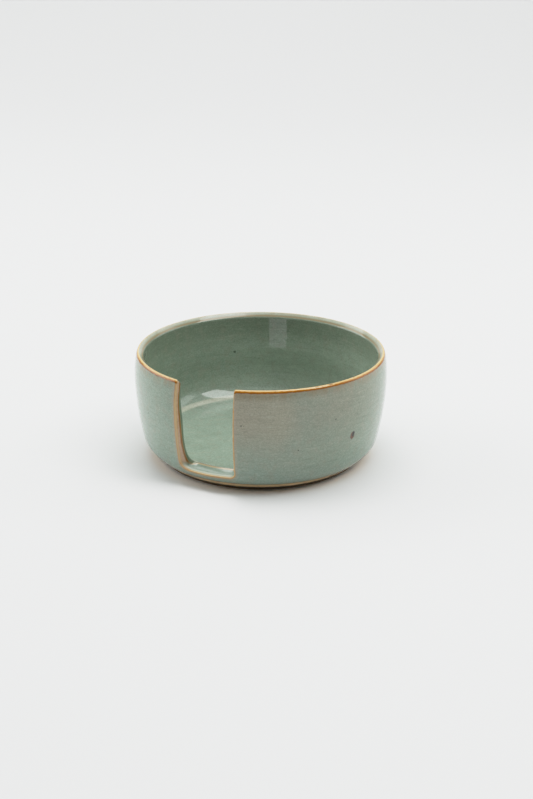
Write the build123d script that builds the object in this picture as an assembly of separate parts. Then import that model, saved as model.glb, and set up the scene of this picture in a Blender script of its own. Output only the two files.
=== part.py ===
from build123d import *
import os
from math import radians, tan

# A wheel-thrown stoneware yarn bowl. Its wall has one straight-sided notch, cut from the rim down to
# the floor, that the yarn runs out through. Glaze covers everything but the foot.
# Millimetres, +Z up. The origin is the middle of the foot, on the surface that the bowl stands on,
# and the notch faces -Y.

# Overall
HEIGHT = 65.0                # table to the ridge of the rim
WIDEST_RADIUS = 75.0
WIDEST_HEIGHT = 51.0
GLAZE = 0.5                  # thickness of the fired glaze

# Foot and underside, bare clay
FOOT_RADIUS = 60.0
FOOT_CHAMFER = 0.6
FOOT_RING_WIDTH = 7.0
FOOT_RECESS = 3.5            # depth of the hollow turned inside the foot ring, with 45 degree sides
GLAZE_LINE_RADIUS = 61.5
GLAZE_LINE_HEIGHT = 2.3      # the glaze stops here, just above the table

# Outside of the wall
GLAZE_LINE_SLOPE = (1.25, 1.0)
CURL_RADIUS = 69.2           # on the low curl
CURL_HEIGHT = 9.8
CURL_TOP_RADIUS = 71.2       # where the curl has turned into the wall
CURL_TOP_HEIGHT = 16.5
BELLY_RADIUS = 73.0
BELLY_HEIGHT = 26.1
SHOULDER_RADIUS = 73.7       # where the rim's rounding starts
SHOULDER_HEIGHT = 63.2

# Rim: an outer ridge, and a bevel that falls inwards to the top of the inner wall
RIDGE_RADIUS = 72.4
RIM_INNER_RADIUS = 69.2
RIM_INNER_HEIGHT = 62.0

# Inside
INNER_WALL_RADIUS = 68.4     # about half way down
INNER_WALL_HEIGHT = 38.0
COVE_TOP_RADIUS = 65.6
COVE_TOP_HEIGHT = 18.0
FLOOR_EDGE_RADIUS = 56.5
FLOOR_EDGE_HEIGHT = 10.9
FLOOR_SLOPE = 0.06           # at that edge
FLOOR_HEIGHT = 9.9           # middle of the floor, which is slightly dished
FLOOR_FLAT_RADIUS = 28.0

# Notch
NOTCH_WIDTH = 36.4           # across the outside of the wall
NOTCH_WIDTH_RADIUS = 74.5    # the radius at which that width is measured
NOTCH_LEAN = 1.2             # degrees that its sides lean
SILL_OUTER_RADIUS = 69.1
SILL_OUTER_HEIGHT = 9.6
SILL_INNER_RADIUS = 58.0
SILL_INNER_HEIGHT = 11.0
CORNER_RADII = (5.0, 3.0)    # left and right, seen from in front
CUT_FROM = 52.0              # the cut's space runs between these distances in front of the axis
CUT_TO = 85.0
CUT_TOP = HEIGHT + 8.0


def ridge_point(inset):
    """Ridge of the rim, moved into the clay by inset."""
    return RIDGE_RADIUS, HEIGHT - 1.4 * inset


def lip_point(inset):
    """Corner between the rim's bevel and the inner wall, moved into the clay by inset."""
    return RIM_INNER_RADIUS + inset, RIM_INNER_HEIGHT - 0.45 * inset


def outer_line(inset):
    """Outside of the wall, from the glaze line up to the ridge."""
    widest = (WIDEST_RADIUS - inset, WIDEST_HEIGHT)
    belly = TangentArc(widest, (BELLY_RADIUS - inset, BELLY_HEIGHT), tangent=(0, -1))
    shoulder = TangentArc(widest, (SHOULDER_RADIUS - inset, SHOULDER_HEIGHT - inset / 2), tangent=(0, 1))
    curl = Spline(
        (GLAZE_LINE_RADIUS - inset, GLAZE_LINE_HEIGHT),
        (CURL_RADIUS - inset, CURL_HEIGHT),
        (CURL_TOP_RADIUS - inset, CURL_TOP_HEIGHT),
        (BELLY_RADIUS - inset, BELLY_HEIGHT),
        tangents=(GLAZE_LINE_SLOPE, (belly % 1) * -1),
    )
    rounding = TangentArc(shoulder @ 1, ridge_point(inset), tangent=shoulder % 1)
    return [curl, belly, shoulder, rounding]


def rim_line(inset):
    """The rim's bevel, from the ridge down to the top of the inner wall."""
    return [Line(ridge_point(inset), lip_point(inset))]


def inner_line(inset):
    """Inner wall, cove and dished floor, from the bevel to the axis."""
    wall = Spline(
        lip_point(inset),
        (INNER_WALL_RADIUS + inset, INNER_WALL_HEIGHT),
        (COVE_TOP_RADIUS + inset, COVE_TOP_HEIGHT),
        (FLOOR_EDGE_RADIUS, FLOOR_EDGE_HEIGHT - inset),
        tangents=((0, -1), (-1, -FLOOR_SLOPE)),
    )
    flat_edge = (FLOOR_FLAT_RADIUS, FLOOR_HEIGHT - inset)
    dish = Spline(wall @ 1, flat_edge, tangents=((-1, -FLOOR_SLOPE), (-1, 0)))
    return [wall, dish, Line(flat_edge, (0, FLOOR_HEIGHT - inset))]


def foot_line():
    """Underside, from the axis out to the glaze line, and the axis up to the floor."""
    ring_inner = FOOT_RADIUS - FOOT_RING_WIDTH
    return [
        Polyline(
            (0, FLOOR_HEIGHT - GLAZE),
            (0, FOOT_RECESS),
            (ring_inner - FOOT_RECESS, FOOT_RECESS),
            (ring_inner, 0),
            (FOOT_RADIUS - FOOT_CHAMFER, 0),
            (FOOT_RADIUS, FOOT_CHAMFER),
            (FOOT_RADIUS, GLAZE_LINE_HEIGHT),
            (GLAZE_LINE_RADIUS - GLAZE, GLAZE_LINE_HEIGHT),
        )
    ]


def turned(lines):
    """Solid of revolution about Z whose half section these lines close."""
    outline = [edge for line in lines for edge in line.edges()]
    return revolve(Plane.XZ * make_face(outline), Axis.Z)


def coat(line):
    """Glaze between a line of the finished surface and the same line on the clay."""
    surface, clay = line(0), line(GLAZE)
    start = Line(surface[0] @ 0, clay[0] @ 0)
    if (surface[-1] @ 1).X < GLAZE:
        end = Line((0, FLOOR_HEIGHT), (0, FLOOR_HEIGHT - GLAZE))
    else:
        end = Line(surface[-1] @ 1, clay[-1] @ 1)
    return turned(surface + clay + [start, end])


def notch_face(distance, grow):
    """Cross section of the cut at this distance in front of the axis, larger by grow all round."""
    scale = distance / NOTCH_WIDTH_RADIUS
    half = NOTCH_WIDTH / 2 * scale
    rise = (SILL_INNER_HEIGHT - SILL_OUTER_HEIGHT) / (SILL_OUTER_RADIUS - SILL_INNER_RADIUS)
    sill = SILL_OUTER_HEIGHT + rise * (SILL_OUTER_RADIUS - distance)
    lean = (CUT_TOP - sill) / 2 * tan(radians(NOTCH_LEAN))
    face = make_face(
        Polyline(
            (-half - lean, sill),
            (half - lean, sill),
            (half + lean, CUT_TOP),
            (-half + lean, CUT_TOP),
            close=True,
        )
    )
    for side, radius in zip((-1, 1), CORNER_RADII):
        corner = (side * half - lean, sill)
        nearest = min(face.vertices(), key=lambda v: abs(v.X - corner[0]) + abs(v.Y - corner[1]))
        face = fillet(nearest, radius * scale)
    front = Plane((0, -distance, 0), x_dir=(1, 0, 0), z_dir=(0, -1, 0))
    return front * offset(face, grow, kind=Kind.INTERSECTION) if grow else front * face


def cut(grow):
    """Space of the notch. Its sides run in towards the axis, so they stand square to the wall."""
    return loft([notch_face(CUT_FROM, grow), notch_face(CUT_TO, grow)], ruled=True)


notch = cut(0)
notch_in_clay = cut(GLAZE)
surface = outer_line(0) + rim_line(0) + inner_line(0)
glazed_bowl = turned(
    surface + [Polyline((0, FLOOR_HEIGHT), (0, GLAZE_LINE_HEIGHT), (GLAZE_LINE_RADIUS, GLAZE_LINE_HEIGHT))]
)
clay_lines = outer_line(GLAZE) + rim_line(GLAZE) + inner_line(GLAZE) + foot_line()

nodes = {
    "clay_body": turned(clay_lines) - notch_in_clay,
    "outer_glaze": coat(outer_line) - notch_in_clay,
    "rim_glaze": coat(rim_line) - notch_in_clay,
    "inner_glaze": coat(inner_line) - notch_in_clay,
    "notch_glaze": glazed_bowl & (notch_in_clay - notch),
}

os.makedirs("parts", exist_ok=True)
for name, shape in nodes.items():
    export_step(shape, f"parts/{name}.step")
    solids = shape.solids()
    size = shape.bounding_box().size
    print(name, len(solids), "solid(s)", round(shape.volume), "mm3", [round(v, 2) for v in size])
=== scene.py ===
from collections import namedtuple
from math import cos, pi, radians, sin

import bpy
import numpy as np
from mathutils import Euler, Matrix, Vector
from mathutils.kdtree import KDTree


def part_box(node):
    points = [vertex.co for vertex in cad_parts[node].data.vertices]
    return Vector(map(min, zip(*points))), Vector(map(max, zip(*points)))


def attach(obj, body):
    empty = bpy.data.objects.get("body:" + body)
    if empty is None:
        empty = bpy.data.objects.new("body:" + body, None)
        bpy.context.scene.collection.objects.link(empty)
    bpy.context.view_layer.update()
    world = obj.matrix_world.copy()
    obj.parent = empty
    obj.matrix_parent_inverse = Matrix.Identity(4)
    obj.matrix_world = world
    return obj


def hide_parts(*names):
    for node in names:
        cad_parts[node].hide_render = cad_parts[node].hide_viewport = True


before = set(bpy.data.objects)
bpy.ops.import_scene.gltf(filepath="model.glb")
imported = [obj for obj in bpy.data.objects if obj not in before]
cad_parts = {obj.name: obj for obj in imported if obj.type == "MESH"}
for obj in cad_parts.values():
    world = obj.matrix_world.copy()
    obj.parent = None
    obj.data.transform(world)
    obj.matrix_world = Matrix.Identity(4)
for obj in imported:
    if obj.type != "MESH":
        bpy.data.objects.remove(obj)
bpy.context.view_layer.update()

# A thrown stoneware yarn bowl under a celadon glaze, on a pale sweep in soft light. Metres, +Z up,
# the notch facing -Y. Angles round the bowl are counted from the middle of the notch, towards +X.
# A place on the wall is an angle and a length along the wall's section, called up, or along.

MM = 0.001

# ---------------------------------------------------------------- sizes

# Sizes of the CAD model
CAD_GLAZE = 0.5 * MM
WIDEST_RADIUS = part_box("outer_glaze")[1][0]
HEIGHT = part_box("outer_glaze")[1][2]
GLAZE_LINE_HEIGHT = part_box("outer_glaze")[0][2]
LIP_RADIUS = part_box("inner_glaze")[1][0] - CAD_GLAZE
LIP_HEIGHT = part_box("inner_glaze")[1][2]
FLOOR_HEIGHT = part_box("inner_glaze")[0][2] + CAD_GLAZE

# Wall, as radius and height, with the directions (radius, height) in which its curves leave and arrive
GLAZE = 0.42 * MM                          # thickness of each coat
GLAZE_LINE = (61.5 * MM, GLAZE_LINE_HEIGHT)
GLAZE_LINE_WAY = (1.25, 1.0)
CURL = (69.2 * MM, 9.8 * MM)
CURL_TOP = (71.2 * MM, 16.5 * MM)
BELLY = (73.0 * MM, 26.1 * MM)
BELLY_WAY = (0.16, 1.0)
WIDEST = (WIDEST_RADIUS, 51.0 * MM)
SHOULDER = (73.7 * MM, 63.2 * MM)
LIP = (LIP_RADIUS, LIP_HEIGHT)
INNER_WALL = (68.05 * MM, 38.0 * MM)
COVE_TOP = (65.6 * MM, 18.0 * MM)
FLOOR_EDGE = (56.5 * MM, 10.9 * MM)
FLOOR_EDGE_WAY = (1.0, 0.06)
FLOOR_FLAT = (28.0 * MM, FLOOR_HEIGHT)
OUTWARDS, UPWARDS = (1.0, 0.0), (0.0, 1.0)

# Notch
SILL_OUTER_HEIGHT = 9.6 * MM
SILL_INNER_RADIUS = 58.0 * MM
NOTCH_HALF = radians(14.2)
NOTCH_SHIFT = radians(-0.45)               # how far the whole notch lies to the right
LEFT_LEAN = radians(0.8)
LEFT_LEAN_HEIGHTS = (8 * MM, 38 * MM)      # the left side leans between these
RIGHT_LEAN = radians(0.7)
METRIC_RADIUS = 72.0 * MM                  # turns an angle into a length along the wall
CORNERS_OUTSIDE = (5.2 * MM, 3.2 * MM)     # left and right
CORNERS_INSIDE = (1.2 * MM, 1.7 * MM)
TOP_CORNER = 1.1 * MM
END_REACH = 12 * MM                        # points this near the notch's ends follow its leaning sides
WEB = radians(2.4)                         # how far the left side's inner foot reaches into the notch
WEB_HEIGHTS = (8 * MM, 42 * MM)            # it fades between these
SILL_RISE = 0.75 * MM                      # the sill's edge over its place in the CAD model
SILL_DIP = 0.45 * MM                       # how much lower its middle lies than its ends
SILL_TILT = 1.1 * MM                       # how much higher the right end of its inner edge lies
SILL_FADE = 10 * MM                        # the sill's rise fades out up to this height
RIM_FADE = 15 * MM                         # a side takes on the rim's section over this height
RIM_DROP = (2.0 * MM, 3.7 * MM)            # the rim's rounding starts this far down, outside and inside
SQUARE_SHARE = 0.15                        # share of the thickness that bends to meet the wall's faces
SECTION_SHARE = 0.75                       # share of it in which a section turns to the inside's outline

# Foot, bare clay
FOOT_RADIUS = 60.0 * MM
FOOT_INNER = 53.0 * MM
RECESS = 3.5 * MM
FOOT_WAVE = 0.06 * MM
TURNING_MARK = 0.1 * MM

# Unevenness of the thrown wall. The outside only moves inwards, and the rim only moves down
MIDDLE_HEIGHTS = np.array((9, 20, 62)) * MM        # the middle of the wall, which parts inside from outside
MIDDLE_RADII = np.array((63, 68.5, 71.3)) * MM
RING_OUTSIDE, RING_INSIDE = 0.07 * MM, 0.12 * MM   # depth of the throwing rings
OVAL, TRIANGLE = 0.03 * MM, 0.015 * MM             # how far out of round, in two and in three waves
SMALLEST_MOVE = 0.01 * MM
RIM_DROOP, RIM_WAVE = 0.2 * MM, 0.03 * MM

# Mesh
FINE = 0.22 * MM                           # first step away from an edge
GROWTH = 1.22
COARSE_ROUND = 1.7 * MM
COARSE_UP = 1.1 * MM
OUTER_SEAM, INNER_SEAM = 8, 17             # steps of the edge's section where the coats meet
POLE = 2.5 * MM                            # radius of the last ring round the middle of the floor
SPREAD_ROUNDS = 420
CURVE_STEPS, ARC_STEPS = 80, 160

# Marks in the glaze: angle from the notch in degrees, height and size in mm
SPECKS = ((-34.3, 37.7, 0.5), (17.7, 44.5, 0.45), (60.0, 44.0, 0.5), (42.6, 28.5, 0.45))
INNER_SPECK = (220.3, 40.0, 0.9)
RUST_SPOT = (70.8, 30.3, 1.8)
IRON_SPOT = (71.3, 31.2, 1.0)
INNER_MARK_RADIUS = 68.6 * MM


def srgb(r, g, b):
    """Linear colour from 0 to 255 display values."""
    channels = []
    for value in (r, g, b):
        value /= 255
        channels.append(value / 12.92 if value <= 0.04045 else ((value + 0.055) / 1.055) ** 2.4)
    return tuple(channels)


# Fired colours, and the colours of painted light and shade, each as the display value of the bare pigment
CELADON = srgb(142, 162, 146)
# The next two are painted light and painted shade on the celadon, not fired colours
CELADON_PAINTED_LIGHT = srgb(167, 183, 165)
CELADON_PAINTED_SHADE = srgb(124, 141, 122)
CELADON_LIP_SHADE = srgb(106, 120, 100)
CELADON_POOL = srgb(142, 159, 144)
CELADON_LOW = srgb(138, 157, 144)
CELADON_SILL = srgb(126, 144, 128)
CELADON_CORNER_SHADE = srgb(92, 106, 82)
BUFF = srgb(149, 146, 130)
BUFF_LIT = srgb(168, 160, 138)
PINK_BUFF = srgb(178, 158, 136)
UNDER_RIM = srgb(144, 130, 106)
PALE_GLAZE_AND_HIGHLIGHT = srgb(186, 190, 172)
BEVEL_WARM = srgb(180, 176, 154)
BEVEL_LOW = srgb(138, 146, 124)
BEVEL_BROWN = srgb(140, 122, 90)
LIP_TAN = srgb(148, 124, 88)
RIDGE_TAN_AND_HIGHLIGHT = srgb(222, 184, 122)
AMBER = srgb(178, 112, 24)
EDGE_GOLD = srgb(190, 146, 88)
BROWN = srgb(136, 84, 22)
TAN = srgb(196, 172, 132)
CHEEK = srgb(200, 166, 136)
CHEEK_DEEP = srgb(186, 156, 126)
CHEEK_LINE = srgb(136, 92, 40)
SILL_LINE = srgb(170, 158, 126)
BASE_TAN = srgb(240, 206, 160)
BASE_BROWN = srgb(150, 118, 76)
FRECKLE = srgb(104, 112, 94)
FRECKLE_PALE = srgb(196, 196, 178)
RING = srgb(98, 106, 90)
RING_PALE = srgb(190, 196, 178)
CRACKLE = srgb(84, 88, 72)
IRON = srgb(40, 42, 34)
RUST = srgb(104, 72, 54)
CLAY = srgb(184, 144, 104)
CLAY_DARK = srgb(140, 116, 88)
CLAY_DOT = srgb(84, 60, 42)
FOOT_PAINTED_SHADE = srgb(62, 68, 58)
GLAZE_IOR = 1.54

# Camera: in front of the bowl, round to the right of the notch, looking down at it
CAMERA_AZIMUTH = radians(26.0)
CAMERA_REACH = 0.7862
CAMERA_HEIGHT = 0.3288
CAMERA_PITCH = radians(20.67)
CAMERA_YAW = radians(25.75)
CAMERA_ROLL = radians(0.22)
CAMERA_LENS = 63.08
CAMERA_SENSOR = 36.0
CAMERA_NEAREST = 0.01

# Paper sweep: how far behind the bowl the places of its flat part lie, and the curve it rises in
SWEEP_FLAT = (-3.0, -0.5, 0.5, 1.2)
SWEEP_RADIUS = 0.9
SWEEP_STEPS = 24
SWEEP_TOP = 2.6
SWEEP_HALF = 3.0
SWEEP_COLOURS = ((0.79, 0.802, 0.796), (0.796, 0.806, 0.802))

# Light of the room, dark on the camera's side up to the ceiling. The ramps are cosines
ROOM_CAMERA_SIDE = 0.04
ROOM_ELSEWHERE = 0.5
ROOM_TINT = (0.97, 1.0, 0.995, 1.0)
ROOM_BACK_RAMP = (-0.65, 0.0)
ROOM_CEILING_RAMP = (0.66, 0.76)

# Lamps: name, place and aim (to the camera's right, behind the bowl, up), size, radiance
LIGHTS = (
    ("overhead", (0.5, -0.1, 1.5), (0.5, -0.1, 0.0), (2.5, 0.7), 5.15),
    ("left", (-1.55, 0.5, 0.8), (0.0, 0.0, 0.1), (1.5, 1.3), 2.5),
    ("right", (1.55, 0.6, 0.8), (0.0, 0.0, 0.1), (1.3, 1.2), 1.4),
    ("background", (0.0, 1.6, 1.8), (0.0, 1.7, 0.0), (2.6, 0.9), 2.1),
)

# The photo's tones, as scene light and displayed light
TONES = (
    (0.0, 0.0), (0.25, 0.25), (0.5, 0.495), (0.7, 0.65), (0.9, 0.755),
    (1.15, 0.83), (1.6, 0.9), (2.2, 0.95), (4.0, 1.0),
)
ALL_CHANNELS = 3                           # the curve of a curve mapping that all colours share

Sheet = namedtuple("Sheet", "points quads edge first_ring")
Surface = namedtuple("Surface", "points normals coats fan low_ring attributes")
Shell = namedtuple("Shell", "points quads triangles normals attributes")


# ---------------------------------------------------------------- shape of the wall

def smooth(x):
    x = np.clip(x, 0, 1)
    return x * x * (3 - 2 * x)


def ramp(value, low, high):
    """0 at low, 1 at high, smooth between. low may be the larger one."""
    return smooth((value - low) / (high - low))


def curve_through(points, start, end):
    """Smooth curve through the points that leaves along start and arrives along end."""
    p = np.array(points)
    span = np.linalg.norm(np.diff(p, axis=0), axis=1)
    count = len(p)
    rows, right = np.zeros((count, count)), np.zeros((count, 2))
    rows[0, 0] = rows[-1, -1] = 1
    right[0] = np.array(start) / np.linalg.norm(start)
    right[-1] = np.array(end) / np.linalg.norm(end)
    for i in range(1, count - 1):
        before, after = span[i - 1], span[i]
        rows[i, i - 1:i + 2] = after, 2 * (before + after), before
        right[i] = 3 * (after * (p[i] - p[i - 1]) / before + before * (p[i + 1] - p[i]) / after)
    slope = np.linalg.solve(rows, right)
    t = np.linspace(0, 1, CURVE_STEPS)[:, None]
    runs = []
    for i in range(count - 1):
        runs.append(
            (2 * t**3 - 3 * t**2 + 1) * p[i]
            + (t**3 - 2 * t**2 + t) * span[i] * slope[i]
            + (3 * t**2 - 2 * t**3) * p[i + 1]
            + (t**3 - t**2) * span[i] * slope[i + 1]
        )
    return np.concatenate([runs[0]] + [run[1:] for run in runs[1:]])


def bow(top, foot, to_height):
    """Arc that is upright at top and passes through foot, from top to the given height."""
    rise, inset = foot[1] - top[1], top[0] - foot[0]
    radius = (rise**2 + inset**2) / (2 * inset)
    z = np.linspace(top[1], to_height, ARC_STEPS)
    r = top[0] - radius + np.sqrt(radius**2 - (z - top[1]) ** 2)
    return np.stack([r, z], axis=1)


class Outline:
    """A line of the wall's section, measured along its length from a chosen zero."""

    def __init__(self, points, zero_axis, zero_value):
        self.points = points
        steps = np.linalg.norm(np.diff(points, axis=0), axis=1)
        self.length = np.concatenate([[0], np.cumsum(steps)])
        self.length -= np.interp(zero_value, points[:, zero_axis], self.length)

    def at(self, along):
        r = np.interp(along, self.length, self.points[:, 0])
        z = np.interp(along, self.length, self.points[:, 1])
        return r, z


def outer_outline():
    curl = curve_through([GLAZE_LINE, CURL, CURL_TOP, BELLY], GLAZE_LINE_WAY, BELLY_WAY)
    belly = bow(WIDEST, BELLY, BELLY[1])[::-1]
    shoulder = bow(WIDEST, SHOULDER, HEIGHT)
    return Outline(np.concatenate([curl, belly[1:], shoulder[1:]]), 1, SILL_OUTER_HEIGHT)


def inner_outline():
    flat = np.array([(0.0, FLOOR_HEIGHT), FLOOR_FLAT])
    dish = curve_through([FLOOR_FLAT, FLOOR_EDGE], OUTWARDS, FLOOR_EDGE_WAY)
    wall = curve_through([FLOOR_EDGE, COVE_TOP, INNER_WALL, LIP], FLOOR_EDGE_WAY, UPWARDS)
    above = np.array([(LIP_RADIUS, HEIGHT)])
    return Outline(np.concatenate([flat, dish[1:], wall[1:], above]), 0, SILL_INNER_RADIUS)


OUTER, INNER = outer_outline(), inner_outline()
OUTER_TOP, INNER_TOP = OUTER.length[-1], INNER.length[-1]


def in_round(angle, r, z):
    return np.stack([r * np.sin(angle), -r * np.cos(angle), z], axis=-1)


def inner_along(up):
    """Place along the inside that faces a place along the outside."""
    return np.where(up > 0, up * INNER_TOP / OUTER_TOP, up)


def wall_thickness(up):
    (ro, zo), (ri, zi) = OUTER.at(up), INNER.at(inner_along(up))
    return float(np.hypot(ro - ri, zo - zi))


def cut_point(angle, up, depth, rise):
    """Points of the cut face or rim: depth runs 0 to 1 inwards, rise is square to the face."""
    outer, inner = np.stack(OUTER.at(up), 1), np.stack(INNER.at(inner_along(up)), 1)
    across = (inner - outer) / np.linalg.norm(inner - outer, axis=1, keepdims=True)
    square = np.stack([-across[:, 1], across[:, 0]], 1)
    square *= np.sign(square[:, 1:])
    on_outside = 1 - smooth(depth / SQUARE_SHARE)
    on_inside = ramp(depth, 1 - SQUARE_SHARE, 1)
    point = outer + (inner - outer) * depth[:, None]
    point = point + (np.stack(OUTER.at(up + rise), 1) - outer) * on_outside[:, None]
    point = point + (np.stack(INNER.at(inner_along(up) + rise), 1) - inner) * on_inside[:, None]
    point = point + square * (rise * (1 - on_outside - on_inside))[:, None]
    return in_round(angle, point[:, 0], point[:, 1])


# ---------------------------------------------------------------- sections of the rim and the cut
# Each is a line of points across the wall's edge: depth from the outside and height over the edge, in
# mm. All have the same number of steps, and their parts end where the coats' seams lie.

def bend(a, b, c, d, steps):
    """Points after the first on a cubic curve with these four control points."""
    t = np.linspace(0, 1, steps + 1)[1:, None]
    a, b, c, d = (np.array(point) for point in (a, b, c, d))
    return (1 - t) ** 3 * a + 3 * (1 - t) ** 2 * t * b + 3 * (1 - t) * t**2 * c + t**3 * d


def run(a, b, steps):
    t = np.linspace(0, 1, steps + 1)[1:, None]
    return np.array(a) * (1 - t) + np.array(b) * t


def rim_section():
    """An outer rounding, a narrow ridge, the bevel and its lip."""
    start, ridge = (0, -2.0), (1.0, 0)
    bevel_top, bevel_foot = (1.9, -0.62), (3.45, -2.1)
    return np.concatenate([
        [start],
        bend(start, (0.0, -0.8), (0.35, -0.08), ridge, 8),
        bend(ridge, (1.35, 0.04), (1.5, -0.25), bevel_top, 3),
        run(bevel_top, bevel_foot, 6),
        bend(bevel_foot, (3.95, -2.6), (4.2, -2.85), (4.2, -3.7), 5),
    ])


def cheek_section(thick):
    """Across the notch's upright side: a narrow outer arris, a flat face, a crease, and a broad bevel
    where the wet clay was smoothed."""
    crease = thick * 0.53
    fall = (thick - crease) * 0.21
    start, face = (0, -0.75), (0.75, 0)
    face_end, bevel = (crease - 0.25, -0.02), (crease + 0.15, -0.14)
    bevel_end = (thick - 0.8, -fall)
    return np.concatenate([
        [start],
        bend(start, (0, -0.3), (0.3, 0), face, 8),
        run(face, face_end, 6),
        bend(face_end, (crease - 0.1, -0.03), (crease, -0.05), bevel, 3),
        run(bevel, bevel_end, 3),
        bend(bevel_end, (thick - 0.35, -fall - 0.1), (thick, -fall - 0.4), (thick, -fall - 1.2), 2),
    ])


def sill_section(thick):
    """Across the sill, which is a shallow channel behind a narrow outer arris."""
    start, channel, channel_end = (0, -0.75), (0.8, -0.02), (thick - 1.6, 0.6)
    return np.concatenate([
        [start],
        bend(start, (0, -0.3), (0.3, 0.02), channel, 8),
        bend(channel, (2.2, -0.6), (thick - 5.0, -1.1), channel_end, 9),
        bend(channel_end, (thick - 1.0, 1.0), (thick - 0.5, 1.0), (thick, 0.3), 5),
    ])


def graded(length, coarse, fine_end=True):
    """Places from 0 to length, close together at the start and, with fine_end, at the end too."""
    steps, total = [FINE], FINE
    while total < (length / 2 if fine_end else length):
        steps.append(min(steps[-1] * GROWTH, coarse))
        total += steps[-1]
    places = np.cumsum([0] + steps + (steps[::-1] if fine_end else []))
    return places * length / places[-1]


# ---------------------------------------------------------------- outline of the notch

def left_edge(up):
    """Angle of the notch's left side, which leans and bows a little."""
    return -NOTCH_HALF + NOTCH_SHIFT + LEFT_LEAN * ramp(up, *LEFT_LEAN_HEIGHTS)


def right_edge(up):
    return NOTCH_HALF + NOTCH_SHIFT + RIGHT_LEAN * np.clip(up / OUTER_TOP, 0, 1) ** 3


def sill_edge(angle, tilt):
    """Height of the sill's edge over its place in the CAD model."""
    across = angle / NOTCH_HALF
    return SILL_DIP * across**2 + SILL_RISE + tilt * (across + 1) / 2


def turn_of_corner(distance, radius):
    """Angle along a rounded corner, 45 degrees at its middle, for a point that far from the sharp one."""
    return pi / 4 * max(0.0, 1 - distance / radius)


# An entry of the edge loop holds the edge's place (angle, up), the way out of the clay (x, y), and how
# far it is rim and how far it is sill. into is the way into the notch: 1 on its left side, -1 on its
# right side.

def rim_entry(angle, top, full_angles):
    x, y = angle * METRIC_RADIUS, top
    out = (0.0, 1.0)
    ends = ((right_edge(top), full_angles[0], -1), (2 * pi + left_edge(top), full_angles[-1], 1))
    for edge, end, into in ends:
        from_corner = abs(angle - end) * METRIC_RADIUS
        x += (edge - end) * METRIC_RADIUS * (1 - smooth(from_corner / END_REACH))
        if from_corner < TOP_CORNER:
            turn = turn_of_corner(from_corner, TOP_CORNER)
            x -= into * (TOP_CORNER * (1 - sin(turn)) - from_corner)
            y -= TOP_CORNER * (1 - cos(turn))
            out = (into * sin(turn), cos(turn))
    return (x / METRIC_RADIUS, y), out, 1.0, 0.0


def side_entry(up, edge, into, corner, top, tilt):
    x, y = (2 * pi + edge) * METRIC_RADIUS, up
    out, sill = (into, 0.0), 0.0
    if up < corner:
        turn = turn_of_corner(up, corner)
        x += into * corner * (1 - cos(turn))
        y += corner * (1 - sin(turn)) - up
        out = (into * cos(turn), sin(turn))
        sill = float(smooth(turn / (pi / 2)))
    if top - up < TOP_CORNER:
        turn = turn_of_corner(top - up, TOP_CORNER)
        x -= into * TOP_CORNER * (1 - cos(turn))
        y += (top - up) - TOP_CORNER * (1 - sin(turn))
        out = (into * cos(turn), 0.0)
    y += sill_edge(edge, tilt) * (1 - smooth(up / SILL_FADE))
    rim = float(1 - smooth((top - up) / RIM_FADE))
    return (x / METRIC_RADIUS, y), out, rim, sill


def sill_entry(angle, notch_angles, corners, web, tilt):
    x, y = (2 * pi + angle) * METRIC_RADIUS, 0.0
    out, sill = (0.0, 1.0), 1.0
    ends = (
        (left_edge(0.0) + web, notch_angles[0], corners[0], 1),
        (right_edge(0.0), notch_angles[-1], corners[1], -1),
    )
    for edge, end, corner, into in ends:
        from_corner = abs(angle - end) * METRIC_RADIUS
        x += (edge - end) * METRIC_RADIUS * (1 - smooth(from_corner / END_REACH))
        if from_corner < corner:
            turn = turn_of_corner(from_corner, corner)
            x += into * (corner * (1 - sin(turn)) - from_corner)
            y += corner * (1 - cos(turn))
            out = (into * sin(turn), cos(turn))
            sill = float(smooth(1 - turn / (pi / 2)))
    y += sill_edge(angle, tilt)
    return (x / METRIC_RADIUS, y), out, 0.0, sill


def edge_loop(full_angles, notch_angles, ups, corners, web=0.0, tilt=0.0):
    """The wall's edge all round: rim, left side, sill and right side."""
    top = ups[-1]
    loop = [rim_entry(angle, top, full_angles) for angle in full_angles]
    for up in ups[::-1][1:]:
        edge = left_edge(up) + web * (1 - ramp(up, *WEB_HEIGHTS))
        loop.append(side_entry(up, edge, 1, corners[0], top, tilt))
    loop += [sill_entry(angle, notch_angles, corners, web, tilt) for angle in notch_angles[1:-1]]
    loop += [side_entry(up, right_edge(up), -1, corners[1], top, tilt) for up in ups[:-1]]
    return loop


def section_places(outside, inside):
    """Angle, place along the outside, depth and rise of every point of one section. The notch's
    corners are rounder outside than inside, so the section runs from one edge loop to the other."""
    (angle, up), out, rim, sill = outside
    thick = wall_thickness(up) / MM
    rim_part = rim_section()
    cut_part = cheek_section(thick) * (1 - sill) + sill_section(thick) * sill
    depth = rim_part[:, 0] / rim_part[-1, 0] * rim + cut_part[:, 0] / thick * (1 - rim)
    share = smooth(depth / SECTION_SHARE)
    angle = angle + (inside[0][0] - angle) * share
    up = up + (inside[0][1] - up) * share
    across = out[0] + (inside[1][0] - out[0]) * share
    along = out[1] + (inside[1][1] - out[1]) * share
    rise = (cut_part[:, 1] * along * (1 - rim) + rim_part[:, 1] * rim) * MM
    return angle + cut_part[:, 1] * MM * across / METRIC_RADIUS, up, depth, rise


# ---------------------------------------------------------------- the whole glazed surface

def sides_of(faces):
    """Every face's sides, as pairs of vertices in the face's direction."""
    corners = faces.shape[1]
    return np.concatenate([faces[:, [i, (i + 1) % corners]] for i in range(corners)])


def grid_quads(index):
    return np.stack([index[:-1, :-1], index[:-1, 1:], index[1:, 1:], index[1:, :-1]], -1).reshape(-1, 4)


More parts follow.
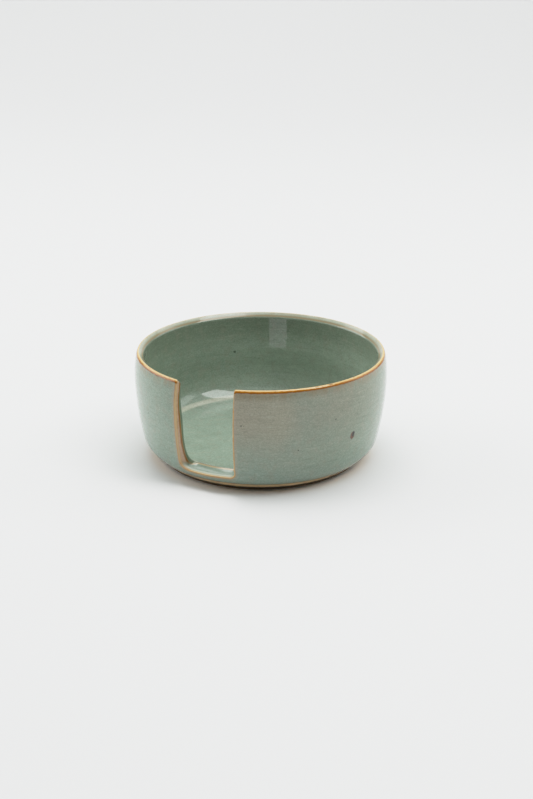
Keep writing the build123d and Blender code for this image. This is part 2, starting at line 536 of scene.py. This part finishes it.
def sheet_grid(full_angles, notch_angles, low, high):
    """Grid of one side of the wall: low rows go all the way round, high rows stop at the notch.
    Returns the places, the quads, the vertices along the edge loop, in its order, and the first row."""
    columns = np.concatenate([full_angles, 2 * pi + notch_angles[1:-1]])
    count, full = len(columns), len(full_angles)
    lows = np.array([(angle, along) for along in low for angle in columns])
    highs = np.array([(angle, along) for along in high[1:] for angle in full_angles])
    low_index = np.arange(len(lows)).reshape(len(low), count)
    high_rows = len(lows) + np.arange(len(highs)).reshape(-1, full)
    high_index = np.concatenate([low_index[-1:, :full], high_rows])
    around = np.concatenate([low_index, low_index[:, :1]], axis=1)
    edge = np.concatenate([high_index[-1], high_index[-2::-1, -1], low_index[-1, full:], high_index[:-1, 0]])
    quads = np.concatenate([grid_quads(around), grid_quads(high_index)])
    return np.concatenate([lows, highs]), quads, edge, low_index[0]


def spread(moves, fixed, quads):
    """Carries the moves of the fixed vertices smoothly into the rest of a grid."""
    a, b = np.unique(np.sort(sides_of(quads), axis=1), axis=0).T
    count = len(moves)
    degree = np.bincount(a, minlength=count) + np.bincount(b, minlength=count)
    free = np.ones(count, bool)
    free[fixed] = False
    for _ in range(SPREAD_ROUNDS):
        for value in moves.T:
            total = np.bincount(a, value[b], count) + np.bincount(b, value[a], count)
            value[free] = (total / degree)[free]
    return moves


def fitted_sheet(outline, full_angles, notch_angles, low, high, target):
    """One side of the wall, with its edge moved to target."""
    grid, quads, edge, first_ring = sheet_grid(full_angles, notch_angles, low, high)
    moves = np.zeros_like(grid)
    moves[edge] = target - grid[edge]
    moves[:, 0] = (moves[:, 0] + pi) % (2 * pi) - pi
    grid = grid + spread(moves, np.concatenate([edge, first_ring]), quads)
    return Sheet(in_round(grid[:, 0], *outline.at(grid[:, 1])), quads, edge, first_ring)


def by_hand(points):
    """The small unevenness of a thrown bowl: rings, out of round, rim height."""
    x, y, z = points.T
    r, angle = np.hypot(x, y), np.arctan2(x, -y)
    middle = np.interp(z, MIDDLE_HEIGHTS, MIDDLE_RADII)
    inside = smooth((middle - r) / (1.5 * MM) + 0.5) * ramp(z, 11 * MM, 15 * MM)
    outside = smooth((r - middle) / (1.5 * MM) + 0.5) * ramp(z, 3 * MM, 11 * MM)
    below_rim = ramp(z, 61 * MM, 55 * MM)
    climb = z / MM + 1.6 * np.sin(angle + 0.7)
    rings = 0.5 + 0.3 * np.sin(climb * 0.9) + 0.2 * np.sin(climb * 0.37 + 1.1 + 0.6 * np.sin(angle))
    out_of_round = OVAL * (1 + np.cos(2 * angle + 0.9)) + TRIANGLE * (1 + np.cos(3 * angle - 1.0))
    r = r - outside * (RING_OUTSIDE * rings * below_rim + out_of_round + SMALLEST_MOVE)
    r = r + inside * (RING_INSIDE * rings * below_rim - out_of_round * ramp(z, 20 * MM, 50 * MM))
    droop = RIM_DROOP * (1 + np.cos(angle - 0.5)) + RIM_WAVE * (1 + np.sin(3 * angle))
    return in_round(angle, r, z - droop * ramp(z, 30 * MM, 65 * MM))


def vertex_normals(points, quads, triangles):
    normals = np.zeros_like(points)
    for corner in (quads[:, [0, 1, 2]], quads[:, [0, 2, 3]], triangles):
        a, b, c = (points[corner[:, i]] for i in range(3))
        face = np.cross(b - a, c - a)
        for i in range(3):
            np.add.at(normals, corner[:, i], face)
    return normals / np.linalg.norm(normals, axis=1, keepdims=True)


def distance_to(points, targets):
    """Distance from each point to the nearest target, in mm."""
    tree = KDTree(len(targets))
    for i, target in enumerate(targets):
        tree.insert(target, i)
    tree.balance()
    return np.array([tree.find(p)[2] for p in points]) / MM


def both_sheets(full_angles, notch_angles, ups, places):
    """The outside and the inside of the wall, up to the ends of the edge's sections."""
    outer_low = -graded(-OUTER.length[0], COARSE_UP, fine_end=False)[::-1]
    inner_low = -graded(-INNER.length[0] - POLE, COARSE_ROUND, fine_end=False)[::-1]
    outer_high = ups * (1 - RIM_DROP[0] / OUTER_TOP)
    inner_high = ups / OUTER_TOP * (INNER_TOP - RIM_DROP[1])
    outer_edge = [(angle[0], up[0] + rise[0]) for angle, up, _, rise in places]
    inner_edge = [(angle[-1], float(inner_along(up[-1])) + rise[-1]) for angle, up, _, rise in places]
    return (
        fitted_sheet(OUTER, full_angles, notch_angles, outer_low, outer_high, np.array(outer_edge)),
        fitted_sheet(INNER, full_angles, notch_angles, inner_low, inner_high, np.array(inner_edge)),
    )


def make_surface():
    """The glazed surface, whose vertices all the coats share, and each vertex's distances from the
    crests that the colours follow."""
    round_wall = (2 * pi - 2 * NOTCH_HALF) * METRIC_RADIUS
    full_angles = NOTCH_HALF + graded(round_wall, COARSE_ROUND) / METRIC_RADIUS
    notch_angles = -NOTCH_HALF + graded(2 * NOTCH_HALF * METRIC_RADIUS, COARSE_ROUND) / METRIC_RADIUS
    ups = graded(OUTER_TOP, COARSE_UP)
    outside = edge_loop(full_angles, notch_angles, ups, CORNERS_OUTSIDE)
    inside = edge_loop(full_angles, notch_angles, ups, CORNERS_INSIDE, WEB, SILL_TILT)
    places = [section_places(*pair) for pair in zip(outside, inside)]
    outer, inner = both_sheets(full_angles, notch_angles, ups, places)
    strip = np.array([cut_point(*place) for place in places])[:, 1:-1]

    inner_start = len(outer.points)
    strip_start = inner_start + len(inner.points)
    within = strip_start + np.arange(strip.shape[0] * strip.shape[1]).reshape(strip.shape[:2])
    index = np.concatenate([outer.edge[:, None], within, inner.edge[:, None] + inner_start], axis=1)
    pole = np.array([[0.0, 0.0, FLOOR_HEIGHT]])
    points = by_hand(np.concatenate([outer.points, inner.points, strip.reshape(-1, 3), pole]))

    after = np.roll(index, -1, axis=0)
    belt = np.stack([index[:, :-1], after[:, :-1], after[:, 1:], index[:, 1:]], -1)
    rim_count = len(full_angles) - 1
    coats = {
        "outer_glaze": np.concatenate([outer.quads, belt[:, :OUTER_SEAM].reshape(-1, 4)]),
        "rim_glaze": belt[:rim_count, OUTER_SEAM:INNER_SEAM].reshape(-1, 4),
        "notch_glaze": belt[rim_count:, OUTER_SEAM:INNER_SEAM].reshape(-1, 4),
        "inner_glaze": np.concatenate([
            inner.quads[:, ::-1] + inner_start,
            belt[:, INNER_SEAM:].reshape(-1, 4),
        ]),
    }
    pole_ring = inner.first_ring + inner_start
    fan = np.stack([pole_ring, np.roll(pole_ring, -1), np.full_like(pole_ring, len(points) - 1)], -1)
    crests = {
        "edge_out": index[:, OUTER_SEAM],
        "edge_in": index[:, INNER_SEAM],
        "ridge": index[:rim_count + 1, OUTER_SEAM],
        "cut_in": index[rim_count:, INNER_SEAM],
    }
    normals = vertex_normals(points, np.concatenate(list(coats.values())), fan)
    attributes = {name: distance_to(points, points[crest]) for name, crest in crests.items()}
    return Surface(points, normals, coats, fan, outer.first_ring, attributes)


# ---------------------------------------------------------------- pieces

def foot_profile():
    """Clay from the glaze line down, across the foot ring and over the recess, towards the middle."""
    r, inner, z = FOOT_RADIUS / MM, FOOT_INNER / MM, RECESS / MM
    points = [(r + 0.85, 2.3), (r + 0.45, 2.0), (r + 0.12, 1.6), (r, 1.1), (r - 0.02, 0.7), (r - 0.12, 0.35)]
    points += [(r - 0.35, 0.1), (r - 0.7, 0.0), (r - 1.4, 0.0), (r - 3.5, 0.0), (inner + 1.2, 0.0)]
    points += [(inner + 0.5, 0.03), (inner, 0.25), (inner - 1.5, z - 1.7)]
    points += [(inner - 2.9, z - 0.35), (inner - 3.6, z)]
    turned = np.linspace(inner - 4.6, 2.0, 42)
    marks = z - 0.12 + TURNING_MARK / MM * np.sin(turned * 1.7)
    return np.concatenate([points, np.stack([turned, marks], 1)]) * MM


def new_piece(node, shell, material):
    mesh = bpy.data.meshes.new(node)
    mesh.from_pydata(shell.points.tolist(), [], shell.quads.tolist() + shell.triangles.tolist())
    mesh.shade_smooth()
    for key, values in shell.attributes.items():
        mesh.attributes.new(key, "FLOAT", "POINT").data.foreach_set("value", values.astype(np.float32))
    mesh.update()
    mesh.normals_split_custom_set_from_vertices(shell.normals.tolist())
    mesh.materials.append(material)
    piece = bpy.data.objects.new(node, mesh)
    bpy.context.scene.collection.objects.link(piece)
    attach(piece, "root")
    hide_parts(node)


def boundary(quads, triangles):
    """Directed sides that only one face has."""
    sides = np.concatenate([sides_of(quads), sides_of(triangles)])
    known = {(int(a), int(b)) for a, b in sides}
    return np.array([side for side in known if side[::-1] not in known])


def coat_shell(surface, quads, triangles):
    """A closed coat: its faces, the same faces a glaze's thickness down, and walls round its borders."""
    used = np.unique(np.concatenate([quads.ravel(), triangles.ravel()]))
    place = np.full(len(surface.points), -1)
    place[used] = np.arange(len(used))
    count = len(used)
    quads, triangles = place[quads], place[triangles]
    edges = boundary(quads, triangles)
    walls = np.stack([edges[:, 1], edges[:, 0], edges[:, 0] + count, edges[:, 1] + count], -1)
    top, out = surface.points[used], surface.normals[used]
    return Shell(
        np.concatenate([top, top - out * GLAZE]),
        np.concatenate([quads, quads[:, ::-1] + count, walls]),
        np.concatenate([triangles, triangles[:, ::-1] + count]),
        np.concatenate([out, -out]),
        {key: np.tile(values[used], 2) for key, values in surface.attributes.items()},
    )


def clay_shell(surface):
    """The clay under all the coats, closed by the foot and the underside."""
    clay = surface.points - surface.normals * GLAZE
    ring = surface.low_ring
    angle = np.arctan2(clay[ring, 0], -clay[ring, 1])
    points, quads = [clay], list(surface.coats.values())
    start, last = len(clay), ring
    for r, z in foot_profile():
        uneven = FOOT_WAVE * np.sin(3 * angle + 0.4) if z > 0.05 * MM else 0.0
        points.append(in_round(angle, r + uneven, np.full_like(angle, z)))
        row = start + np.arange(len(ring))
        quads.append(np.stack([row, np.roll(row, -1), np.roll(last, -1), last], -1))
        start, last = start + len(ring), row
    points.append(np.array([[0.0, 0.0, RECESS]]))
    under = np.stack([np.roll(last, -1), last, np.full_like(last, start)], -1)
    points, quads = np.concatenate(points), np.concatenate(quads)
    triangles = np.concatenate([surface.fan, under])
    below = np.zeros(len(points) - len(clay))
    attributes = {key: np.concatenate([values, below]) for key, values in surface.attributes.items()}
    return Shell(points, quads, triangles, vertex_normals(points, quads, triangles), attributes)


# ---------------------------------------------------------------- materials

class Nodes:
    """Short names for the nodes of one material. Sizes are in metres."""

    def __init__(self, name):
        self.material = bpy.data.materials.new(name)
        self.material.use_nodes = True
        self.tree = self.material.node_tree
        self.shader = self.tree.nodes["Principled BSDF"]
        self.place = self.tree.nodes.new("ShaderNodeTexCoord").outputs["Object"]

    def link(self, value, socket):
        if isinstance(value, bpy.types.NodeSocket):
            self.tree.links.new(value, socket)
        else:
            socket.default_value = value

    def attribute(self, name):
        node = self.tree.nodes.new("ShaderNodeAttribute")
        node.attribute_name = name
        return node.outputs["Fac"]

    def shaken(self, name, amount):
        """Distance from a crest, in mm, with an edge ragged by this amount."""
        shake = self.noise(2.4 * MM, 3, 0.6)
        return self.math("MULTIPLY_ADD", shake, amount, self.math("ADD", self.attribute(name), -amount / 2))

    def height(self):
        node = self.tree.nodes.new("ShaderNodeSeparateXYZ")
        self.link(self.place, node.inputs[0])
        return node.outputs["Z"]

    def vector(self, operation, *values, output="Vector"):
        node = self.tree.nodes.new("ShaderNodeVectorMath")
        node.operation = operation
        for value, socket in zip(values, node.inputs):
            self.link(value, socket)
        return node.outputs[output]

    def towards(self, angle):
        """1 at this angle round the wall, falling as the cosine."""
        way = (sin(angle) / METRIC_RADIUS, -cos(angle) / METRIC_RADIUS, 0.0)
        return self.vector("DOT_PRODUCT", self.place, way, output="Value")

    def math(self, operation, *values):
        node = self.tree.nodes.new("ShaderNodeMath")
        node.operation = operation
        for value, socket in zip(values, node.inputs):
            self.link(value, socket)
        return node.outputs[0]

    def noise(self, size, detail=2.0, roughness=0.5, stretch=(1, 1, 1), shift=0.0):
        """Noise from 0 to 1 whose features are about size across."""
        mapping = self.tree.nodes.new("ShaderNodeMapping")
        self.link(self.place, mapping.inputs["Vector"])
        mapping.inputs["Scale"].default_value = stretch
        mapping.inputs["Location"].default_value = (shift, shift * 0.7, shift * 1.3)
        node = self.tree.nodes.new("ShaderNodeTexNoise")
        self.link(mapping.outputs[0], node.inputs["Vector"])
        node.inputs["Scale"].default_value = 1 / size
        node.inputs["Detail"].default_value = detail
        node.inputs["Roughness"].default_value = roughness
        return node.outputs["Fac"]

    def cells(self, size, feature, place):
        node = self.tree.nodes.new("ShaderNodeTexVoronoi")
        node.feature = feature
        self.link(place, node.inputs["Vector"])
        node.inputs["Scale"].default_value = 1 / size
        return node.outputs["Distance"]

    def dots(self, size):
        """Distance from a scatter of points, 0 at each."""
        return self.cells(size, "F1", self.place)

    def cracks(self, size, wobble):
        """Distance from a net of crooked lines, 0 on each."""
        shake = self.tree.nodes.new("ShaderNodeTexNoise")
        shake.inputs["Scale"].default_value = 1.3 / size
        self.link(self.place, shake.inputs["Vector"])
        place = self.vector("MULTIPLY_ADD", shake.outputs["Color"], (wobble,) * 3, self.place)
        return self.cells(size, "DISTANCE_TO_EDGE", place)

    def between(self, value, low, high):
        """0 below low, 1 above high, smooth between. low may be the larger one."""
        node = self.tree.nodes.new("ShaderNodeMapRange")
        node.interpolation_type = "SMOOTHSTEP"
        self.link(value, node.inputs["Value"])
        self.link(low, node.inputs["From Min"])
        self.link(high, node.inputs["From Max"])
        return node.outputs[0]

    def mix(self, factor, a, b):
        node = self.tree.nodes.new("ShaderNodeMix")
        node.data_type = "RGBA"
        colours = [socket for socket in node.inputs if socket.type == "RGBA"]
        self.link(factor, node.inputs[0])
        for value, socket in zip((a, b), colours):
            self.link(value if isinstance(value, bpy.types.NodeSocket) else (*value, 1.0), socket)
        return [socket for socket in node.outputs if socket.type == "RGBA"][0]

    def lay(self, colour, over, *masks, strength=1.0):
        """colour, with over laid on it where all the masks are 1."""
        factor = masks[0]
        for mask in masks[1:]:
            factor = self.math("MULTIPLY", factor, mask)
        if strength < 1.0:
            factor = self.math("MULTIPLY", factor, strength)
        return self.mix(factor, colour, over)

    def near(self, point, radius, tilt=0.0, long=1.0):
        """1 at a point of the surface, 0 outside radius from it, with a ragged edge."""
        mapping = self.tree.nodes.new("ShaderNodeMapping")
        mapping.vector_type = "TEXTURE"
        self.link(self.place, mapping.inputs["Vector"])
        mapping.inputs["Location"].default_value = point
        angle = np.arctan2(point[0], -point[1])
        mapping.inputs["Rotation"].default_value = (0.0, tilt, angle)
        mapping.inputs["Scale"].default_value = (radius, radius * 3, radius * long)
        length = self.vector("LENGTH", mapping.outputs[0], output="Value")
        ragged = self.math("MULTIPLY_ADD", self.noise(0.9 * MM), 0.5, length)
        return self.between(ragged, 1.32, 1.02)

    def finish(self, colour, roughness, relief):
        """Joins the colour, the roughness and a relief in mm to the shader."""
        self.link(colour, self.shader.inputs["Base Color"])
        self.link(roughness, self.shader.inputs["Roughness"])
        bump = self.tree.nodes.new("ShaderNodeBump")
        bump.inputs["Strength"].default_value = 1.0
        bump.inputs["Distance"].default_value = MM
        self.link(relief, bump.inputs["Height"])
        self.link(bump.outputs["Normal"], self.shader.inputs["Normal"])
        return self.material


def on_outside(angle, height):
    z = height * MM
    r = np.interp(z, OUTER.points[:, 1], OUTER.points[:, 0])
    return in_round(radians(angle), r, z).tolist()


def on_inside(angle, height):
    return in_round(radians(angle), INNER_MARK_RADIUS, height * MM).tolist()


def glaze_texture(n, colour, mottle):
    """Freckles, throwing rings, crackle and pepper specks that every part of this glaze has."""
    fine = n.noise(1.0 * MM, 5, 0.7, stretch=(1, 1, 1.6))
    coarse = n.noise(4.5 * MM, 3, 0.55, shift=0.3)
    rings = n.noise(11 * MM, 4, 0.65, stretch=(1, 1, 8), shift=1.3)
    cracks = n.cracks(2.3 * MM, wobble=1.4 * MM)
    peppered = n.between(n.noise(6 * MM, 1, 0.5, shift=0.9), 0.60, 0.66)
    colour = n.lay(colour, FRECKLE, n.between(fine, 0.42, 0.68), strength=0.27 * mottle)
    colour = n.lay(colour, FRECKLE_PALE, n.between(fine, 0.5, 0.3), strength=0.17 * mottle)
    colour = n.lay(colour, BUFF, n.between(coarse, 0.45, 0.72), strength=0.25 * mottle)
    colour = n.lay(colour, RING, n.between(rings, 0.5, 0.7), strength=0.16 * mottle)
    colour = n.lay(colour, RING_PALE, n.between(rings, 0.46, 0.3), strength=0.11 * mottle)
    colour = n.lay(colour, CRACKLE, n.between(cracks, 0.06, 0.0), strength=0.16 * mottle)
    return n.lay(colour, IRON, n.between(n.dots(2.6 * MM), 0.11, 0.06), peppered, strength=0.7)


def glaze_finish(n, colour, roughness, ripple=1.0):
    """Clear glassy surface with a slight orange peel."""
    smudge = n.between(n.noise(14 * MM, 2, 0.5, shift=1.7), 0.3, 0.75)
    rough = n.math("MULTIPLY_ADD", smudge, 0.4 * roughness, roughness)
    n.shader.inputs["IOR"].default_value = GLAZE_IOR
    peel = n.math("MULTIPLY", n.noise(2.6 * MM, 2, 0.45, shift=2.2), 0.012 * ripple)
    peel = n.math("MULTIPLY_ADD", n.noise(9 * MM, 1, 0.4, shift=3.1), 0.03 * ripple, peel)
    return n.finish(colour, rough, peel)


def outer_body(n, z):
    """Celadon that drifts to buff towards the upper front, right of the notch, with painted light just
    beside the notch and painted shade further round to the right.
    """
    patches = n.between(n.noise(26 * MM, 2, 0.5, shift=4.0), 0.35, 0.7)
    high = n.math("MULTIPLY", n.between(z, 12 * MM, 52 * MM), 0.7)
    front = n.math("MULTIPLY_ADD", n.between(n.towards(radians(45)), 0.62, 0.93), 0.85, 0.15)
    colour = n.lay(CELADON, BUFF, n.math("MULTIPLY_ADD", patches, 0.3, high), front)
    # Painted light: a lighter buff just right of the notch, between 22 and 46 mm up
    beside_notch = n.between(n.towards(radians(20)), 0.95, 1.0)
    colour = n.lay(colour, BUFF_LIT, beside_notch, n.between(z, 22 * MM, 46 * MM), strength=0.55)
    colour = n.lay(colour, CELADON_LOW, n.between(z, 22 * MM, 5 * MM))
    # Painted shade: a darker celadon further round to the right
    return n.lay(colour, CELADON_PAINTED_SHADE, n.between(n.towards(radians(75)), 0.75, 1.0), strength=0.35)


def outer_edges(n, colour):
    """Warm streaks under the rim, and the thin glaze's amber and tan lines along the rim and the cut. The
    pale tan on the ridge's top is partly a painted highlight.
    """
    ridge, cut = n.shaken("ridge", 0.8), n.shaken("edge_out", 0.4)
    streaks = n.between(n.noise(2.2 * MM, 3, 0.6, stretch=(1, 1, 0.22), shift=0.5), 0.3, 0.65)
    blotch = n.between(n.noise(5 * MM, 3, 0.6, shift=1.0), 0.54, 0.74)
    colour = n.lay(colour, UNDER_RIM, n.between(ridge, 7.5, 2.5), streaks, strength=0.65)
    colour = n.lay(colour, PINK_BUFF, n.between(cut, 3.6, 0.8), strength=0.35)
    # The ridge's top is pale tan, partly thin glaze and partly a painted highlight
    rim = n.lay(RIDGE_TAN_AND_HIGHLIGHT, AMBER, n.between(ridge, 0.5, 1.1))
    rim = n.lay(rim, BROWN, n.between(ridge, 1.0, 1.7))
    rim = n.lay(rim, BROWN, blotch, strength=0.8)
    line = n.lay(TAN, EDGE_GOLD, n.between(cut, 0.2, 1.1))
    line = n.lay(line, AMBER, blotch, strength=0.6)
    colour = n.lay(colour, line, n.between(cut, 1.4, 0.9))
    return n.lay(colour, rim, n.between(ridge, 2.3, 1.6))


def outer_marks(n, colour, z):
    """Iron specks, the rust spot with its iron centre, and the lines above the foot."""
    for angle, height, size in SPECKS:
        colour = n.lay(colour, IRON, n.near(on_outside(angle, height), size * MM), strength=0.75)
    rust, iron = on_outside(*RUST_SPOT[:2]), on_outside(*IRON_SPOT[:2])
    colour = n.lay(colour, RUST, n.near(rust, RUST_SPOT[2] * MM, tilt=radians(6), long=1.4))
    colour = n.lay(colour, IRON, n.near(iron, IRON_SPOT[2] * MM, tilt=radians(9), long=1.9))
    colour = n.lay(colour, BASE_BROWN, n.between(z, 6.0 * MM, 5.5 * MM))
    return n.lay(colour, BASE_TAN, n.between(z, 5.2 * MM, 4.8 * MM))


def outer_material():
    n = Nodes("celadon_outside")
    z = n.height()
    colour = glaze_texture(n, outer_body(n, z), 1.25)
    return glaze_finish(n, outer_marks(n, outer_edges(n, colour), z), 0.11)


def rim_material():
    n = Nodes("celadon_rim")
    ridge, lip = n.shaken("edge_out", 0.5), n.shaken("edge_in", 0.5)
    # Pale near the ridge, in pale and warmer patches at random, partly the glaze's own colour and partly a
    # painted highlight; darker green further down the bevel
    colour = n.lay(PALE_GLAZE_AND_HIGHLIGHT, BEVEL_WARM, n.between(n.noise(9 * MM), 0.35, 0.7))
    colour = n.lay(colour, BEVEL_LOW, n.between(ridge, 0.7, 3.0))
    colour = glaze_texture(n, colour, 0.7)
    colour = n.lay(colour, BEVEL_BROWN, n.between(lip, 1.2, 0.3), strength=0.8)
    # Pale tan on the ridge, partly thin glaze and partly a painted highlight
    colour = n.lay(colour, RIDGE_TAN_AND_HIGHLIGHT, n.between(ridge, 0.6, 0.0), strength=0.7)
    return glaze_finish(n, colour, 0.10)


def inner_material():
    n = Nodes("celadon_inside")
    z = n.height()
    clouds = n.between(n.noise(7 * MM, 3, 0.6, shift=0.8), 0.3, 0.75)
    # Painted light on the inner wall round at 135 degrees from the notch, fading to painted shade on the far
    # side
    colour = n.lay(CELADON_PAINTED_SHADE, CELADON_PAINTED_LIGHT, n.between(n.towards(radians(135)), -0.75, 0.75))
    colour = n.lay(colour, CELADON, clouds, strength=0.35)
    # Painted shade: the inner wall darkens towards the lip
    colour = n.lay(colour, CELADON_LIP_SHADE, n.between(z, 40 * MM, 58 * MM), strength=0.6)
    colour = n.lay(colour, CELADON_POOL, n.between(z, 22 * MM, 12 * MM))
    # Painted reflection: a pale band round the foot of the cove, just above the floor
    cove_reflection = (n.between(z, 13.4 * MM, 12.4 * MM), n.between(z, 11.0 * MM, 11.6 * MM))
    colour = n.lay(colour, PALE_GLAZE_AND_HIGHLIGHT, *cove_reflection)
    colour = glaze_texture(n, colour, 1.1)
    # Painted shade: dark green on the inner wall beside the notch's inner edges, above the floor
    shade_behind_cut = (n.between(n.shaken("cut_in", 0.5), 4.0, 1.5), n.between(z, 10.5 * MM, 12.5 * MM))
    colour = n.lay(colour, CELADON_CORNER_SHADE, *shade_behind_cut, strength=0.85)
    speck = n.near(on_inside(*INNER_SPECK[:2]), INNER_SPECK[2] * MM)
    colour = n.lay(colour, IRON, speck, strength=0.6)
    colour = n.lay(colour, LIP_TAN, n.between(n.shaken("edge_in", 0.5), 0.7, 0.1), strength=0.7)
    return glaze_finish(n, colour, 0.035, ripple=0.6)


def notch_material():
    n = Nodes("celadon_notch")
    outer, inner = n.shaken("edge_out", 0.4), n.shaken("edge_in", 0.4)
    sill = n.between(n.height(), 14.5 * MM, 11.5 * MM)
    colour = n.lay(CHEEK, CHEEK_DEEP, n.between(n.noise(3 * MM, 3, 0.6, shift=0.2), 0.3, 0.7))
    colour = glaze_texture(n, n.lay(colour, CELADON_SILL, sill), 0.7)
    # Painted highlight: a pale strip on the sill just inside its outer arris
    colour = n.lay(colour, PALE_GLAZE_AND_HIGHLIGHT, n.between(outer, 3.2, 1.6), sill, strength=0.8)
    inner_line_width = n.math("MULTIPLY_ADD", sill, -0.4, 1.5)
    inner_line = n.lay(CHEEK_LINE, SILL_LINE, sill)
    colour = n.lay(colour, inner_line, n.between(inner, inner_line_width, 0.6))
    outer_line = n.lay(TAN, EDGE_GOLD, n.between(outer, 0.0, 0.7))
    colour = n.lay(colour, outer_line, n.between(outer, 0.8, 0.3))
    return glaze_finish(n, colour, 0.08)


def clay_material():
    n = Nodes("stoneware")
    grain = n.noise(0.5 * MM, 4, 0.7)
    colour = n.lay(CLAY, CLAY_DARK, n.between(grain, 0.3, 0.7))
    colour = n.lay(colour, CLAY_DOT, n.between(n.dots(1.6 * MM), 0.14, 0.07), strength=0.6)
    # Painted shade: the clay turns dark above the foot's bottom 0.8 mm, which shows on the foot's side
    colour = n.lay(colour, FOOT_PAINTED_SHADE, n.between(n.height(), 0.2 * MM, 0.8 * MM), strength=0.8)
    return n.finish(colour, n.math("MULTIPLY_ADD", grain, 0.2, 0.65), n.math("MULTIPLY", grain, 0.12))


# ---------------------------------------------------------------- camera, stage and light

def seen_from_camera(right, back, up):
    """A place given by the camera's right and by how far it lies behind the bowl."""
    x = right * cos(CAMERA_AZIMUTH) - back * sin(CAMERA_AZIMUTH)
    y = right * sin(CAMERA_AZIMUTH) + back * cos(CAMERA_AZIMUTH)
    return x, y, up


def add_camera():
    data = bpy.data.cameras.new("camera")
    data.lens = CAMERA_LENS
    data.sensor_width = CAMERA_SENSOR
    data.clip_start = CAMERA_NEAREST
    camera = bpy.data.objects.new("camera", data)
    camera.location = seen_from_camera(0.0, -CAMERA_REACH, CAMERA_HEIGHT)
    aim = Euler((pi / 2 - CAMERA_PITCH, 0, CAMERA_YAW)).to_matrix() @ Euler((0, 0, CAMERA_ROLL)).to_matrix()
    camera.rotation_euler = aim.to_euler()
    bpy.context.scene.collection.objects.link(camera)
    bpy.context.scene.camera = camera


def add_sweep():
    """White paper sweep: flat under the bowl and curving up behind it."""
    line = [(back, 0.0) for back in SWEEP_FLAT]
    for step in range(1, SWEEP_STEPS + 1):
        turn = pi / 2 * step / SWEEP_STEPS
        line.append((SWEEP_FLAT[-1] + SWEEP_RADIUS * sin(turn), SWEEP_RADIUS * (1 - cos(turn))))
    line.append((SWEEP_FLAT[-1] + SWEEP_RADIUS, SWEEP_TOP))
    points = [seen_from_camera(side * SWEEP_HALF, back, up) for back, up in line for side in (-1, 1)]
    faces = [(2 * i, 2 * i + 1, 2 * i + 3, 2 * i + 2) for i in range(len(line) - 1)]
    mesh = bpy.data.meshes.new("sweep")
    mesh.from_pydata(points, [], faces)
    mesh.shade_smooth()
    n = Nodes("sweep_paper")
    n.link(n.lay(*SWEEP_COLOURS, n.between(n.noise(0.5, 1, 0.4), 0.2, 0.8)), n.shader.inputs["Base Color"])
    n.shader.inputs["Roughness"].default_value = 0.75
    n.shader.inputs["Specular IOR Level"].default_value = 0.1
    mesh.materials.append(n.material)
    sweep = bpy.data.objects.new("sweep", mesh)
    bpy.context.scene.collection.objects.link(sweep)


def add_light(name, place, aim, size, radiance):
    data = bpy.data.lights.new(name, "AREA")
    data.shape = "RECTANGLE"
    data.size, data.size_y = size
    data.energy = radiance * pi * size[0] * size[1]
    light = bpy.data.objects.new(name, data)
    light.location = seen_from_camera(*place)
    direction = np.subtract(seen_from_camera(*aim), seen_from_camera(*place))
    light.rotation_euler = Vector(direction).to_track_quat("-Z", "Y").to_euler()
    bpy.context.scene.collection.objects.link(light)


def turned_to(tree, axis, low, high):
    """0 to 1 as a direction in the room turns towards the axis, from one cosine to the other."""
    direction = tree.nodes.new("ShaderNodeTexCoord").outputs["Generated"]
    dot = tree.nodes.new("ShaderNodeVectorMath")
    dot.operation = "DOT_PRODUCT"
    tree.links.new(direction, dot.inputs[0])
    dot.inputs[1].default_value = axis
    rise = tree.nodes.new("ShaderNodeMapRange")
    rise.interpolation_type = "SMOOTHSTEP"
    tree.links.new(dot.outputs["Value"], rise.inputs["Value"])
    rise.inputs["From Min"].default_value = low
    rise.inputs["From Max"].default_value = high
    return rise.outputs[0]


def add_room():
    """A white room, darker on the side that the camera stands on."""
    world = bpy.data.worlds.new("studio")
    bpy.context.scene.world = world
    world.use_nodes = True
    tree = world.node_tree
    open_side = tree.nodes.new("ShaderNodeMath")
    open_side.operation = "MAXIMUM"
    tree.links.new(turned_to(tree, seen_from_camera(0, 1, 0), *ROOM_BACK_RAMP), open_side.inputs[0])
    tree.links.new(turned_to(tree, (0, 0, 1), *ROOM_CEILING_RAMP), open_side.inputs[1])
    strength = tree.nodes.new("ShaderNodeMapRange")
    tree.links.new(open_side.outputs[0], strength.inputs["Value"])
    strength.inputs["To Min"].default_value = ROOM_CAMERA_SIDE
    strength.inputs["To Max"].default_value = ROOM_ELSEWHERE
    background = tree.nodes["Background"]
    background.inputs[0].default_value = ROOM_TINT
    tree.links.new(strength.outputs[0], background.inputs[1])


def develop():
    """The photograph's tones: true up to the middle, with highlights that flatten towards white."""
    view = bpy.context.scene.view_settings
    view.view_transform = "Standard"
    view.use_curve_mapping = True
    mapping = view.curve_mapping
    mapping.clip_max_x = mapping.clip_max_y = TONES[-1][0]
    curve = mapping.curves[ALL_CHANNELS]
    curve.points[-1].location = TONES[-1]
    for point in TONES[1:-1]:
        curve.points.new(*point)
    mapping.update()


# ---------------------------------------------------------------- making

surface = make_surface()
no_fan = np.empty((0, 3), int)
recipes = {
    "outer_glaze": ("celadon_outside", outer_material),
    "rim_glaze": ("celadon_rim", rim_material),
    "inner_glaze": ("celadon_inside", inner_material),
    "notch_glaze": ("celadon_notch", notch_material),
}
for name, (slot_name, recipe) in recipes.items():
    triangles = surface.fan if name == "inner_glaze" else no_fan
    new_piece(name, coat_shell(surface, surface.coats[name], triangles), recipe())
new_piece("clay_body", clay_shell(surface), clay_material())

add_sweep()
add_camera()
add_room()
for light in LIGHTS:
    add_light(*light)
develop()
